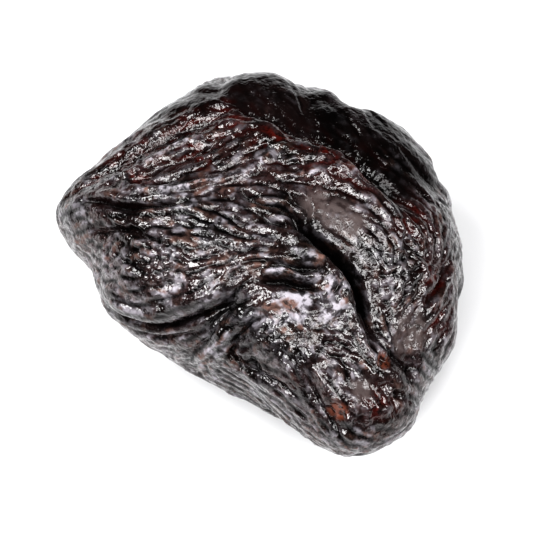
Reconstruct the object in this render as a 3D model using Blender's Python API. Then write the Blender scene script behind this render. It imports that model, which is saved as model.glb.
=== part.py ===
"""One dried prune, grown as a single piece.

The body is a flattened stone-fruit shape whose skin has shrunk onto it: deep folds with raised shoulders,
short creases between them, and small wrinkles all over. It rests on a small flat spot.

Units are metres and +Z is up. The origin is under the middle of the body, on the surface it rests on,
and +X runs along the length, towards the stem end.

A place on the skin is given as (bearing, reach). The bearing is in degrees round the body, from +X
towards +Y. The reach is 0 at the middle of the top, 1 at the rim and 2 at the middle of the underside.
"""

from dataclasses import dataclass

import bmesh
import bpy
import numpy as np
from mathutils import Vector

MM = 0.001

LENGTH = 36 * MM
WIDTH = 30.3 * MM
HEIGHT = 18 * MM

# Distance from the body's middle to its rim, seen from above, every 15 degrees of bearing.
RIM_RADII = np.array((18.4, 16.2, 16.3, 15.6, 15.4, 14.6, 15.0, 15.3, 15.1, 14.5, 16.1, 16.6,
                      16.6, 16.9, 17.8, 19.1, 15.8, 15.0, 13.4, 12.3, 12.0, 12.3, 14.8, 18.9)) * MM
TOP_HEIGHT = 10 * MM
UNDERSIDE_DEPTH = 8.6 * MM
RIM_ROUNDNESS = 0.86         # under 1 the top is flatter and the rim is blunter
DOME_ROUNDNESS = 0.92
STEM_END_THINNING = 0.20
FAR_END_THINNING = 0.12

SPOT_DEPTH = 0.35 * MM       # what the flat spot takes off the underside
SPOT_FADE = (1.58, 1.80)     # reach over which the relief dies out towards the flat spot

CELLS = (40, 34, 20)         # lattice cells along X, Y and Z
FINEST = 0.95 * MM           # narrowest fold that this lattice can carry
CREASE_ANGLE = 80            # degrees; sharper edges than this stay sharp in the shading

SWELL_COUNT, SWELL_HEIGHT, SWELL_WAVE = 10, 0.12 * MM, (11 * MM, 18 * MM)
CREASE_COUNT, CREASE_LENGTH, CREASE_WIDTH = 54, (4 * MM, 9 * MM), 0.8 * MM
CREASE_DEPTH = (0.20 * MM, 0.50 * MM)
WRINKLE_WAVE, WRINKLE_HEIGHT, WRINKLE_PATCHES = 3.1 * MM, 0.38 * MM, 420
RIM_CALM = 0.7               # share of its wrinkles that the stretched skin of the rim loses
RIM_REACH, RIM_SPREAD = 0.97, 0.22
LOBE_END, LOBE_END_RADIUS = (-16, 0.23), 3 * MM
LOBE_END_CALM = 0.7          # share of its wrinkles that the smooth end of the centre lobe loses
SEED = 11


@dataclass(frozen=True)
class Fold:
    """A long fold: the size of its cut, of the hollow beside it and of the step across it, and its route.

    A negative depth makes a raised ridge. A positive step raises the side to the left of the route.
    """

    width: float
    depth: float
    route: tuple
    hollow: float = 0.0
    step: float = 0.0
    ends: tuple = (0.25, 0.25)       # shares of its length over which its start and end fade in


FOLDS = {
    "main furrow": Fold(0.52 * MM, 2.30 * MM, hollow=0.6 * MM, step=-0.4 * MM, ends=(0.20, 0.32), route=(
        (144, 0.04), (70, 0.03), (30, 0.05), (24, 0.10), (22, 0.15), (20, 0.21), (18, 0.27), (15, 0.32),
        (11, 0.36), (8, 0.41), (7, 0.48), (7, 0.59))),
    "furrow head": Fold(0.32 * MM, 0.90 * MM, hollow=0.2 * MM, ends=(0.15, 0.40), route=(
        (-161, 0.13), (-158, 0.08), (-165, 0.04), (139, 0.02), (64, 0.04), (34, 0.06))),
    "furrow lip": Fold(0.30 * MM, 0.80 * MM, ends=(0.25, 0.40), route=(
        (-135, 0.07), (-123, 0.04), (-84, 0.03), (-23, 0.03), (4, 0.05), (20, 0.10))),
    "left fold": Fold(0.32 * MM, 1.00 * MM, hollow=0.1 * MM, step=0.1 * MM, ends=(0.20, 0.30), route=(
        (-135, 0.75), (-134, 0.60), (-131, 0.49), (-130, 0.40), (-131, 0.32), (-132, 0.26), (-138, 0.18))),
    "second left fold": Fold(0.36 * MM, 0.60 * MM, route=(
        (-126, 0.75), (-124, 0.60), (-121, 0.50), (-116, 0.45), (-110, 0.36))),
    "red band": Fold(0.70 * MM, 0.70 * MM, hollow=0.4 * MM, route=(
        (-139, 0.75), (-143, 0.69), (-147, 0.63), (-152, 0.59), (-158, 0.55), (-165, 0.52),
        (-173, 0.49), (175, 0.43), (165, 0.34))),
    "band ridge": Fold(0.35 * MM, -0.35 * MM, ends=(0.20, 0.20), route=(
        (-141, 0.60), (-143, 0.52), (-148, 0.47), (-156, 0.44), (-166, 0.41), (-177, 0.38))),
    "twin ridge groove": Fold(0.40 * MM, 0.60 * MM, route=(
        (-138, 0.46), (-144, 0.41), (-151, 0.38), (-161, 0.35), (-171, 0.33), (-179, 0.32))),
    "wavy ridge": Fold(0.40 * MM, -0.50 * MM, ends=(0.20, 0.20), route=(
        (-137, 0.52), (-137, 0.39), (-139, 0.30), (-144, 0.25), (-153, 0.21), (-164, 0.18),
        (-177, 0.16), (167, 0.17), (152, 0.21), (137, 0.24))),
    "far top band": Fold(0.80 * MM, 0.70 * MM, hollow=0.6 * MM, step=-0.4 * MM, ends=(0.20, 0.20), route=(
        (169, 0.55), (160, 0.39), (142, 0.34), (118, 0.33), (91, 0.34), (72, 0.41), (56, 0.49))),
    "lower left fold": Fold(0.48 * MM, 1.50 * MM, hollow=0.3 * MM, step=0.3 * MM, ends=(0.35, 0.20), route=(
        (-107, 0.94), (-101, 0.90), (-94, 0.85), (-87, 0.79), (-82, 0.71), (-77, 0.61), (-70, 0.50),
        (-64, 0.40), (-58, 0.32))),
    "second lower left": Fold(0.38 * MM, 0.70 * MM, step=0.2 * MM, ends=(0.35, 0.25), route=(
        (-103, 1.00), (-94, 0.96), (-84, 0.87), (-76, 0.74), (-69, 0.60), (-63, 0.47), (-57, 0.38))),
    "lower lobe edge": Fold(0.50 * MM, 0.60 * MM, ends=(0.45, 0.25), route=(
        (-74, 1.02), (-70, 0.80), (-65, 0.60), (-59, 0.43), (-51, 0.34))),
    "upper slot": Fold(0.26 * MM, 0.90 * MM, ends=(0.15, 0.15), route=(
        (-47, 0.21), (-37, 0.17), (-15, 0.13), (-2, 0.15), (7, 0.20))),
    "lower slot": Fold(0.30 * MM, 1.40 * MM, ends=(0.20, 0.12), route=(
        (-51, 0.29), (-40, 0.25), (-27, 0.20), (-15, 0.18), (-7, 0.19))),
    "slot bridge": Fold(0.26 * MM, -0.30 * MM, ends=(0.15, 0.15), route=(
        (-50, 0.25), (-38, 0.20), (-24, 0.16), (-10, 0.16), (-3, 0.18))),
    "slot lip": Fold(0.44 * MM, -0.45 * MM, ends=(0.15, 0.15), route=(
        (-13, 0.15), (-2, 0.17), (2, 0.19), (2, 0.22), (-4, 0.23), (-15, 0.22), (-30, 0.26), (-43, 0.33))),
    "slot side": Fold(0.26 * MM, 0.60 * MM, ends=(0.20, 0.20), route=(
        (9, 0.21), (8, 0.24), (1, 0.24), (-10, 0.23))),
    "furrow side band": Fold(0.46 * MM, -0.45 * MM, ends=(0.15, 0.15), route=(
        (10, 0.19), (11, 0.24), (10, 0.28), (3, 0.28), (-4, 0.28), (-12, 0.28))),
    "upper band": Fold(0.42 * MM, -0.35 * MM, ends=(0.15, 0.15), route=(
        (-18, 0.08), (-6, 0.10), (5, 0.14), (10, 0.17))),
    "curl": Fold(0.40 * MM, -0.45 * MM, ends=(0.15, 0.15), route=(
        (-42, 0.40), (-40, 0.35), (-35, 0.31), (-29, 0.28), (-24, 0.29), (-24, 0.33), (-30, 0.37))),
    "hooked fold": Fold(0.45 * MM, 0.60 * MM, hollow=0.2 * MM, step=-0.1 * MM, ends=(0.20, 0.25), route=(
        (-41, 0.38), (-48, 0.46), (-51, 0.53), (-54, 0.61), (-55, 0.70), (-52, 0.74), (-46, 0.78),
        (-39, 0.73), (-31, 0.68), (-25, 0.69))),
    "stem end crease": Fold(0.45 * MM, 0.50 * MM, hollow=0.2 * MM, step=0.1 * MM, route=(
        (-22, 0.47), (-21, 0.57), (-18, 0.66), (-15, 0.75))),
    "right crease": Fold(0.34 * MM, 0.50 * MM, hollow=0.1 * MM, step=0.1 * MM, route=(
        (52, 0.72), (46, 0.69), (39, 0.65), (33, 0.61), (26, 0.60))),
    "stem scar": Fold(0.50 * MM, 0.80 * MM, hollow=0.3 * MM, ends=(0.35, 0.25), route=(
        (7, 0.54), (8, 0.61), (10, 0.72))),
    "corner groove": Fold(0.34 * MM, 0.90 * MM, ends=(0.25, 0.40), route=(
        (130, 0.06), (104, 0.06), (80, 0.08), (58, 0.07), (38, 0.07))),
    "glint ridge": Fold(0.42 * MM, -0.40 * MM, ends=(0.20, 0.20), route=(
        (166, 0.12), (142, 0.13), (122, 0.15), (105, 0.19), (98, 0.26), (92, 0.29), (88, 0.33))),
    "far side fold": Fold(0.80 * MM, 1.60 * MM, hollow=0.7 * MM, step=0.4 * MM, route=(
        (118, 0.60), (125, 0.80), (128, 1.02), (122, 1.25), (108, 1.45))),
    "far side crease": Fold(0.60 * MM, 1.10 * MM, hollow=0.4 * MM, step=-0.3 * MM, route=(
        (85, 0.82), (80, 0.98), (84, 1.14), (96, 1.35))),
    "far end fold": Fold(0.80 * MM, 1.50 * MM, hollow=0.7 * MM, step=0.4 * MM, route=(
        (158, 0.76), (160, 1.00), (166, 1.22), (180, 1.42), (208, 1.50))),
    "far end crease": Fold(0.55 * MM, 1.00 * MM, hollow=0.4 * MM, route=(
        (-176, 0.92), (-170, 1.08), (-160, 1.24), (-146, 1.40))),
    "near side fold": Fold(0.80 * MM, 1.50 * MM, hollow=0.6 * MM, step=0.4 * MM, route=(
        (-88, 1.24), (-70, 1.28), (-52, 1.34), (-34, 1.42), (-10, 1.52))),
    "near side crease": Fold(0.60 * MM, 1.00 * MM, hollow=0.4 * MM, route=(
        (-40, 1.16), (-28, 1.19), (-14, 1.24), (0, 1.34))),
    "stem side fold": Fold(0.70 * MM, 1.40 * MM, hollow=0.6 * MM, step=0.3 * MM, route=(
        (48, 0.90), (44, 1.05), (37, 1.24), (30, 1.40), (40, 1.54))),
    "underside fold": Fold(0.80 * MM, 1.50 * MM, hollow=0.7 * MM, route=(
        (-132, 1.22), (-116, 1.36), (-96, 1.46), (-66, 1.56))),
}

# Broad lobes of flesh: (bearing, reach), radius and height.
LOBES = {
    "left lobe": ((-100, 0.40), 6.5 * MM, 0.7 * MM),
    "centre lobe": ((-20, 0.06), 3.6 * MM, 0.7 * MM),
    "lower lobe": ((-31, 0.47), 4.0 * MM, 0.6 * MM),
    "right lobe": ((52, 0.38), 5.5 * MM, 0.7 * MM),
    "stem end knob": ((-6, 0.62), 4.0 * MM, 0.6 * MM),
    "far side lobe": ((140, 0.70), 6.5 * MM, 0.5 * MM),
}


def smoothstep(value, low, high):
    """0 below low, 1 above high, with a smooth S between."""
    t = np.clip((value - low) / (high - low), 0, 1)
    return t * t * (3 - 2 * t)


def direction(bearing, reach):
    """Unit vectors from the body's middle, for bearings in degrees and reaches."""
    turn, lift = np.radians(bearing), np.radians(90 * (1 - np.asarray(reach, float)))
    return np.stack([np.cos(turn) * np.cos(lift), np.sin(turn) * np.cos(lift), np.sin(lift)], -1)


def curve_through(knots, first, t):
    """Points on the smooth curve through knots, at share t from each first inner knot to the next."""
    before, start, end, after = (knots[(first + i) % len(knots)] for i in (-1, 0, 1, 2))
    return 0.5 * (2 * start + (end - before) * t + (2 * before - 5 * start + 4 * end - after) * t**2
                  + (3 * start - before - 3 * end + after) * t**3)


def smooth_body(ways):
    """Points of the plump, unwrinkled body along unit vectors from its middle."""
    across = np.hypot(ways[:, 0], ways[:, 1])
    turn = np.arctan2(ways[:, 1], ways[:, 0])
    along = turn / (2 * np.pi) * len(RIM_RADII)
    first = np.floor(along).astype(int)
    out = curve_through(RIM_RADII, first, along - first) * across**RIM_ROUNDNESS
    x, y = out * np.cos(turn), out * np.sin(turn)
    half = np.where(ways[:, 2] > 0, TOP_HEIGHT, UNDERSIDE_DEPTH)
    thin = (1 - STEM_END_THINNING * smoothstep(x, 2 * MM, 18 * MM)
            - FAR_END_THINNING * smoothstep(-x, 8 * MM, 20 * MM))
    z = half * thin * np.sign(ways[:, 2]) * np.abs(ways[:, 2]) ** DOME_ROUNDNESS
    return np.stack([x, y, z], 1)


def outward(points):
    """Unit vectors that lead out of the body, those of an ellipsoid of its size."""
    slope = points / np.square([LENGTH / 2, WIDTH / 2, HEIGHT / 2])
    return slope / np.linalg.norm(slope, axis=1, keepdims=True)


def route_line(route, samples=30):
    """Points on the smooth body along a smooth curve through a route's places."""
    knots = direction(*np.array(route, float).T)
    knots = np.vstack([2 * knots[0] - knots[1], knots, 2 * knots[-1] - knots[-2]])
    along = np.linspace(0, len(route) - 1 - 1e-9, samples)
    ways = curve_through(knots, along.astype(int) + 1, (along % 1)[:, None])
    return smooth_body(ways / np.linalg.norm(ways, axis=1, keepdims=True))


def nearest_on_line(points, normals, line):
    """For each point: its distance to the line, the same signed by side, and its share of the line."""
    distance = np.full(len(points), np.inf)
    side, share = np.zeros(len(points)), np.zeros(len(points))
    for i, (start, end) in enumerate(zip(line[:-1], line[1:])):
        run = end - start
        t = np.clip((points - start) @ run / (run @ run), 0, 1)
        gap = points - start - t[:, None] * run
        far = np.linalg.norm(gap, axis=1)
        closer = far < distance
        distance[closer] = far[closer]
        signed = np.einsum("ij,ij->i", np.cross(normals, run / np.linalg.norm(run)), gap)
        side[closer] = signed[closer]
        share[closer] = ((i + t) / (len(line) - 1))[closer]
    return distance, side, share


def cut(distance, width):
    """The section of a fold: 1 at its bottom, with steep walls."""
    return np.exp(-((distance / width) ** 1.6))


def bump(distance, width):
    """A round hump: 1 in its middle."""
    return np.exp(-((distance / width) ** 2))


def fold_relief(points, normals):
    """Height that the long folds add: each cut with its shoulders, its step and a hollow on its low side.

    The shoulder on the low side is the lower one.

    The shoulder on the low side is the lower one. A fold that is too narrow for the lattice is made wider
    and shallower.
    """
    height = np.zeros(len(points))
    for fold in FOLDS.values():
        distance, side, share = nearest_on_line(points, normals, route_line(fold.route))
        width = max(fold.width, FINEST)
        depth = fold.depth * (fold.width / width) ** 0.5
        fade = smoothstep(share, 0, fold.ends[0]) * smoothstep(1 - share, 0, fold.ends[1])
        step = fold.step * np.tanh(side / (0.6 * width)) * bump(distance, 4 * width)
        low_side = 0.6 - 0.4 * np.sign(fold.step) * np.tanh(side / width)
        shoulder = 0.18 * depth * (1.6 - low_side) * bump(distance - 2.2 * width, 1.1 * width)
        hollow = fold.hollow * low_side * bump(distance, 3.4 * width)
        height += fade * (shoulder + step - hollow - depth * cut(distance, width))
    return height


def lobe_relief(points):
    """Height of the broad lobes of flesh."""
    height = np.zeros(len(points))
    for place, radius, rise in LOBES.values():
        middle = smooth_body(direction(*place)[None])[0]
        height += rise * bump(np.linalg.norm(points - middle, axis=1), radius)
    return height


def swell_relief(points, random):
    """Gentle unevenness: a few long waves in seeded directions."""
    height = np.zeros(len(points))
    for _ in range(SWELL_COUNT):
        way = random.normal(size=3)
        way /= np.linalg.norm(way)
        wave, start = random.uniform(*SWELL_WAVE), random.uniform(0, 2 * np.pi)
        height += SWELL_HEIGHT * np.sin(2 * np.pi * points @ way / wave + start)
    return height


def even_spots(count):
    """Points spread evenly over the smooth body along a golden-angle spiral."""
    index = np.arange(count) + 0.5
    lift = 1 - 2 * index / count
    turn = np.pi * (1 + 5**0.5) * index
    across = np.sqrt(1 - lift**2)
    return smooth_body(np.stack([across * np.cos(turn), across * np.sin(turn), lift], 1))


def along_folds(spots, normals):
    """At each spot, a unit vector in the skin that runs along the nearest long fold."""
    best = np.full(len(spots), np.inf)
    runs = np.zeros_like(spots)
    for fold in FOLDS.values():
        line = route_line(fold.route)
        middles, steps = (line[:-1] + line[1:]) / 2, np.diff(line, axis=0)
        gaps = np.linalg.norm(spots[:, None] - middles[None], axis=2)
        closest = gaps.argmin(axis=1)
        distance = gaps[np.arange(len(spots)), closest]
        closer = distance < best
        best[closer] = distance[closer]
        runs[closer] = steps[closest[closer]]
    runs -= normals * np.einsum("ij,ij->i", runs, normals)[:, None]
    return runs / np.linalg.norm(runs, axis=1, keepdims=True)


def crease_relief(points, random):
    """Short creases between the folds, each roughly in line with the nearest one, with raised sides."""
    spots = even_spots(CREASE_COUNT)
    normals = outward(spots)
    height = np.zeros(len(points))
    for spot, normal, run in zip(spots, normals, along_folds(spots, normals)):
        turn, half = random.normal(0, 0.45), random.uniform(*CREASE_LENGTH) / 2
        depth, bend = random.uniform(*CREASE_DEPTH), random.uniform(-0.25, 0.25)
        run = run * np.cos(turn) + np.cross(normal, run) * np.sin(turn)
        gap = points - spot
        along = gap @ run
        across = np.abs(gap @ np.cross(normal, run) - bend * along**2 / half)
        section = cut(across, CREASE_WIDTH) - 0.35 * bump(across - 2 * CREASE_WIDTH, CREASE_WIDTH)
        height -= depth * section * np.exp(-((along / half) ** 4)) * bump(gap @ normal, 3 * MM)
    return height


def wrinkle_relief(points, random):
    """Small wrinkles: stripes with round backs and narrow valleys, from overlapping patches of waves."""
    spots = even_spots(WRINKLE_PATCHES)
    normals = outward(spots)
    real, imaginary = np.zeros(len(points)), np.zeros(len(points))
    for spot, normal, run in zip(spots, normals, along_folds(spots, normals)):
        turn, wave = random.normal(0, 0.5), WRINKLE_WAVE * np.exp(random.normal(0, 0.12))
        across = np.cross(normal, run) * np.cos(turn) + run * np.sin(turn)
        gap = points - spot
        weight = bump(np.linalg.norm(gap, axis=1), 1.55 * WRINKLE_WAVE)
        phase = 2 * np.pi * (gap @ across) / wave + random.uniform(0, 2 * np.pi)
        real += weight * np.cos(phase)
        imaginary += weight * np.sin(phase)
    return WRINKLE_HEIGHT * (np.abs(np.cos(np.arctan2(imaginary, real) / 2)) - 0.6)


def skin(ways):
    """Points of the folded and wrinkled skin along unit vectors from the body's middle."""
    random = np.random.default_rng(SEED)
    points = smooth_body(ways)
    normals = outward(points)
    reach = 1 - np.degrees(np.arcsin(np.clip(ways[:, 2], -1, 1))) / 90
    calm = 1 - RIM_CALM * bump(reach - RIM_REACH, RIM_SPREAD)
    lobe_end = smooth_body(direction(*LOBE_END)[None])[0]
    calm *= 1 - LOBE_END_CALM * bump(np.linalg.norm(points - lobe_end, axis=1), LOBE_END_RADIUS)
    height = swell_relief(points, random) + lobe_relief(points) + fold_relief(points, normals)
    height += calm * (crease_relief(points, random) + wrinkle_relief(points, random))
    height *= 1 - smoothstep(reach, *SPOT_FADE)
    return points + normals * height[:, None]


def box_lattice():
    """A cube from -1 to 1 whose skin is cut into a lattice of cells."""
    lattice = bmesh.new()
    bmesh.ops.create_cube(lattice, size=2)
    for axis, cells in enumerate(CELLS):
        normal = Vector([float(i == axis) for i in range(3)])
        for i in range(1, cells):
            bmesh.ops.bisect_plane(lattice, geom=lattice.verts[:] + lattice.edges[:] + lattice.faces[:],
                                   plane_co=normal * (2 * i / cells - 1), plane_no=normal)
    return lattice


def wrap_in_skin(body):
    """Moves each point of the cube's lattice out to the skin, with cells of even size all over."""
    cube = np.array([vertex.co[:] for vertex in body.verts])
    ways = np.tan(cube * np.pi / 4)
    ways /= np.linalg.norm(ways, axis=1, keepdims=True)
    for vertex, place in zip(body.verts, skin(ways)):
        vertex.co = place


def cut_flat_spot(body):
    """Cuts the lowest part of the body off flat and closes it."""
    lowest = min(vertex.co.z for vertex in body.verts)
    made = bmesh.ops.bisect_plane(body, geom=body.verts[:] + body.edges[:] + body.faces[:],
                                  clear_inner=True, plane_co=(0, 0, lowest + SPOT_DEPTH), plane_no=(0, 0, 1))
    rim = [item for item in made["geom_cut"] if isinstance(item, bmesh.types.BMEdge)]
    bmesh.ops.edgeloop_fill(body, edges=rim)


def fit_to_size(body):
    """Scales the body to its driving sizes and sets it down with its middle over the origin."""
    corners = np.array([vertex.co[:] for vertex in body.verts])
    low, high = corners.min(axis=0), corners.max(axis=0)
    base = Vector(((low[0] + high[0]) / 2, (low[1] + high[1]) / 2, low[2]))
    bmesh.ops.translate(body, verts=body.verts, vec=-base)
    bmesh.ops.scale(body, verts=body.verts, vec=np.array([LENGTH, WIDTH, HEIGHT]) / (high - low))


def prune_material():
    """Dried plum skin: almost black, a little brown, with a moist gloss."""
    material = bpy.data.materials.new("dried plum skin")
    material.use_nodes = True
    shader = material.node_tree.nodes["Principled BSDF"]
    shader.inputs["Base Color"].default_value = (0.010, 0.005, 0.004, 1)
    shader.inputs["Roughness"].default_value = 0.38
    shader.inputs["Metallic"].default_value = 0.0
    return material


def make_prune():
    """Builds the prune as one closed body."""
    body = box_lattice()
    wrap_in_skin(body)
    cut_flat_spot(body)
    fit_to_size(body)
    bmesh.ops.triangulate(body, faces=body.faces, quad_method="SHORT_EDGE")
    bmesh.ops.recalc_face_normals(body, faces=body.faces)
    mesh = bpy.data.meshes.new("prune")
    body.to_mesh(mesh)
    body.free()
    mesh.shade_smooth()
    mesh.set_sharp_from_angle(angle=np.radians(CREASE_ANGLE))
    mesh.materials.append(prune_material())
    bpy.context.scene.collection.objects.link(bpy.data.objects.new("prune", mesh))


def main():
    """Clears the scene and makes the prune."""
    for thing in list(bpy.data.objects):
        bpy.data.objects.remove(thing)
    make_prune()


main()
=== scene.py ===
"""One dried prune on a pale studio surface.

The prune replaces the frame's plain solid with the same form worked out much finer: the same plump body,
lobes, long folds, short creases and small wrinkles, with sharper folds and a net of fine ridges added. Its
skin is a procedural material that reads maps kept on the mesh. Sizes are in metres, a Fold's in millimetres.
"""

import logging
from dataclasses import dataclass, field
from enum import Enum

import bpy
import numpy as np
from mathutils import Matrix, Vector


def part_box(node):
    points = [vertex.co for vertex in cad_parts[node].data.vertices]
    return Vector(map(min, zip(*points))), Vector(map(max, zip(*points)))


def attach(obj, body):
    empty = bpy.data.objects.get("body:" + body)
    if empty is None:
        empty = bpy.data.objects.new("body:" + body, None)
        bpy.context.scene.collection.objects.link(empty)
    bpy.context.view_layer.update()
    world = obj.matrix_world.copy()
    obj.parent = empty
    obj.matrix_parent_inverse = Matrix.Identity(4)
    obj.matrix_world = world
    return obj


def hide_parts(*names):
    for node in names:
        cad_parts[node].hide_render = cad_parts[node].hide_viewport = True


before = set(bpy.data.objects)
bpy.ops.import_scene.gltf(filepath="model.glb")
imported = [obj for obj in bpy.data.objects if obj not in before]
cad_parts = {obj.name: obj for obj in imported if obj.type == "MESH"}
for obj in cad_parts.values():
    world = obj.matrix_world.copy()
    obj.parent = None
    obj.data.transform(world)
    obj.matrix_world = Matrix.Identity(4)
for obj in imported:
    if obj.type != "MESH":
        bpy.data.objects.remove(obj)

MM = 0.001
SEED = 11
LOG = logging.getLogger("prune")

Array = np.ndarray
Place = tuple[float, float]   # (bearing in degrees round the body, reach: 0 top, 1 rim, 2 underside)
Marks = tuple[tuple[float, float, float], ...]   # each a place's bearing and reach, and a radius in mm
Tree = bpy.types.NodeTree
Socket = bpy.types.NodeSocket


class State(Enum):
    """States that the skin can be in at a point."""

    RIM = "at the body's rim"
    LOBE_END = "on the end of the lobe beside the main furrow"
    STRETCHED = "drawn tight, with low wrinkles"
    UNDER = "under the body"
    CREASE = "in a fold"
    CREST = "on a raised ridge"
    VALLEY = "in a valley of the net of fine ridges"
    CURLY = "with wrinkles that run any way"
    STRAIGHT = "with wrinkles along the folds"
    # smooth skin with painted shade: it is made almost black and bare of bloom
    SMOOTH_SHADED = "smooth, bare of bloom and almost black"
    DULL = "smooth and rubbed"
    SLEEK = "drawn smooth beside a fold"
    ROUGH = "not drawn smooth"
    # extra bloom put where highlights fall: partly bloom, partly a painted highlight
    PAINTED_HIGHLIGHT = "with more bloom"
    RED = "thin"
    FLESH = "torn open at the stem end"
    HOLE = "pierced"


Levels = dict[State, Array]   # how far the skin is in each state at every point, from 0 to 1
Shares = tuple[tuple[State, float], ...]   # what each state takes from something, or counts for in it


class SkinMap(Enum):
    """Maps that the mesh carries for its material, by attribute name."""

    # bloom, with painted highlight on raised crests and pale patches
    BLOOM = "bloom"
    # painted shade: near black put in the folds, their hollows, the holes, the net's valleys and on the
    # smooth shaded skin
    PAINTED_SHADE = "painted_shade"
    RED = "thin_red_skin"
    DULL = "dull_skin"
    FLESH = "torn_flesh"


def smoothstep(value: Array, low: float, high: float) -> Array:
    """0 below low, 1 above high, and 3t^2 - 2t^3 between.

    Args:
        value: numbers to map.
        low: where the rise starts.
        high: where the rise ends.

    Returns:
        Numbers from 0 to 1.
    """
    t = np.clip((value - low) / (high - low), 0, 1)
    return t * t * (3 - 2 * t)


def bump(distance: Array, width: float) -> Array:
    """A round hump, exp(-(distance / width)^2): 1 in its middle."""
    return np.exp(-((distance / width) ** 2))


def cut(distance: Array, width: float) -> Array:
    """The section of a fold, exp(-(distance / width)^1.6): 1 at its bottom, with steep walls."""
    return np.exp(-((distance / width) ** 1.6))


def less(value: Array | float, losses: Shares, levels: Levels) -> Array:
    """A value that loses a share of itself for each of several states: times 1 - share * level.

    Args:
        value: what to lower.
        losses: for each state, the share lost where it is at its full.
        levels: the states' levels.

    Returns:
        The lowered numbers.
    """
    for state, share in losses:
        value = value * (1 - share * levels[state])
    return value


def length_of(vectors: Array) -> Array:
    """The length of each row."""
    return np.sqrt(np.einsum("ij,ij->i", vectors, vectors))


def unit(vectors: Array) -> Array:
    """Each row scaled to length 1."""
    return vectors / length_of(vectors)[:, None]


def curve_through(knots: Array, first: Array, t: Array) -> Array:
    """Points on the Catmull-Rom curve through knots.

    Args:
        knots: the curve's points, treated as a closed ring.
        first: index of the knot where each point's stretch starts.
        t: share of the stretch, from 0 to 1.

    Returns:
        One row, or one number, for each t.
    """
    before, start, end, after = (knots[(first + i) % len(knots)] for i in (-1, 0, 1, 2))
    return 0.5 * (2 * start + (end - before) * t + (2 * before - 5 * start + 4 * end - after) * t**2
                  + (3 * start - before - 3 * end + after) * t**3)


@dataclass(frozen=True)
class Fold:
    """A long fold of the skin, along a route of places on the body.

    Its width, depth, hollow and step are in mm.
    """

    width: float
    depth: float             # negative for a raised ridge
    route: tuple[Place, ...]
    hollow: float = 0.0      # depth of the soft hollow beside it, on its low side
    step: float = 0.0        # height of the side to the left of the route
    ends: tuple[float, float] = (0.25, 0.25)   # shares of its length over which it fades in and out
    pinch: float = 0.55      # how far its lips close over it, from 0 to 1


@dataclass(frozen=True)
class PlumBody:
    """The plump body that the dried skin lies on: a flattened stone fruit with an uneven outline.

    The surface is a function of a unit vector from the body's middle, its "way". The distance out is the
    outline's radius at the way's turn times (horizontal share)^0.86. The height is half the thickness times
    (vertical share)^0.92, thinned towards both ends.
    """

    length: float = 36 * MM
    width: float = 30.3 * MM
    height: float = 18 * MM
    rim_radii: Array = field(default_factory=lambda: MM * np.array(
        (18.4, 16.2, 16.3, 15.6, 15.4, 14.6, 15.0, 15.3, 15.1, 14.5, 16.1, 16.6,
         16.6, 16.9, 17.8, 19.1, 15.8, 15.0, 13.4, 12.3, 12.0, 12.3, 14.8, 18.9)))
    top_height: float = 10 * MM
    underside_depth: float = 8.6 * MM
    rim_roundness: float = 0.86
    dome_roundness: float = 0.92
    stem_thinning: float = 0.20
    stem_end: tuple[float, float] = (2 * MM, 18 * MM)   # from and to where the body thins, along +X
    far_thinning: float = 0.12
    far_end: tuple[float, float] = (8 * MM, 20 * MM)    # and along -X

    def surface(self, ways: Array) -> Array:
        """The body's surface.

        Args:
            ways: unit vectors from the body's middle.

        Returns:
            The surface's point along each of them.
        """
        across = np.hypot(ways[:, 0], ways[:, 1])
        turn = np.arctan2(ways[:, 1], ways[:, 0])
        along = turn / (2 * np.pi) * len(self.rim_radii)
        first = np.floor(along).astype(int)
        out = curve_through(self.rim_radii, first, along - first) * across**self.rim_roundness
        x, y = out * np.cos(turn), out * np.sin(turn)
        half = np.where(ways[:, 2] > 0, self.top_height, self.underside_depth)
        thin = (1 - self.stem_thinning * smoothstep(x, *self.stem_end)
                - self.far_thinning * smoothstep(-x, *self.far_end))
        z = half * thin * np.sign(ways[:, 2]) * np.abs(ways[:, 2]) ** self.dome_roundness
        return np.stack([x, y, z], 1)

    def outward(self, points: Array) -> Array:
        """Unit vectors that lead out of the body: the normals of an ellipsoid of its size."""
        return unit(points / np.square([self.length / 2, self.width / 2, self.height / 2]))

    def way(self, place: Place | Array) -> Array:
        """The way to a place.

        Args:
            place: one (bearing, reach) or a row of them.

        Returns:
            Unit vectors from the body's middle, one in each row.
        """
        bearing, reach = np.atleast_2d(np.asarray(place, float)).T
        turn, lift = np.radians(bearing), np.radians(90 * (1 - reach))
        return np.stack([np.cos(turn) * np.cos(lift), np.sin(turn) * np.cos(lift), np.sin(lift)], 1)

    def reach(self, ways: Array) -> Array:
        """The reach of unit vectors: 0 at the middle of the top, 1 at the rim, 2 under the body."""
        return 1 - np.degrees(np.arcsin(np.clip(ways[:, 2], -1, 1))) / 90

    def hump(self, points: Array, place: Place, radius: float) -> Array:
        """A round hump at a place, 1 in its middle."""
        return bump(length_of(points - self.surface(self.way(place))), radius)

    def line(self, route: tuple[Place, ...], samples: int = 30) -> Array:
        """A smooth line on the body.

        Args:
            route: the places that it passes, in order.
            samples: how many points to give.

        Returns:
            Points along the line.
        """
        knots = self.way(route)
        knots = np.vstack([2 * knots[0] - knots[1], knots, 2 * knots[-1] - knots[-2]])
        along = np.linspace(0, len(route) - 1 - 1e-9, samples)
        return self.surface(unit(curve_through(knots, along.astype(int) + 1, (along % 1)[:, None])))

    def even_spots(self, count: int) -> Array:
        """Points spread evenly over the body along a golden-angle spiral.

        Args:
            count: how many.

        Returns:
            The points.
        """
        index = np.arange(count) + 0.5
        lift = 1 - 2 * index / count
        turn = np.pi * (1 + 5**0.5) * index
        across = np.sqrt(1 - lift**2)
        return self.surface(np.stack([across * np.cos(turn), across * np.sin(turn), lift], 1))


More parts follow.
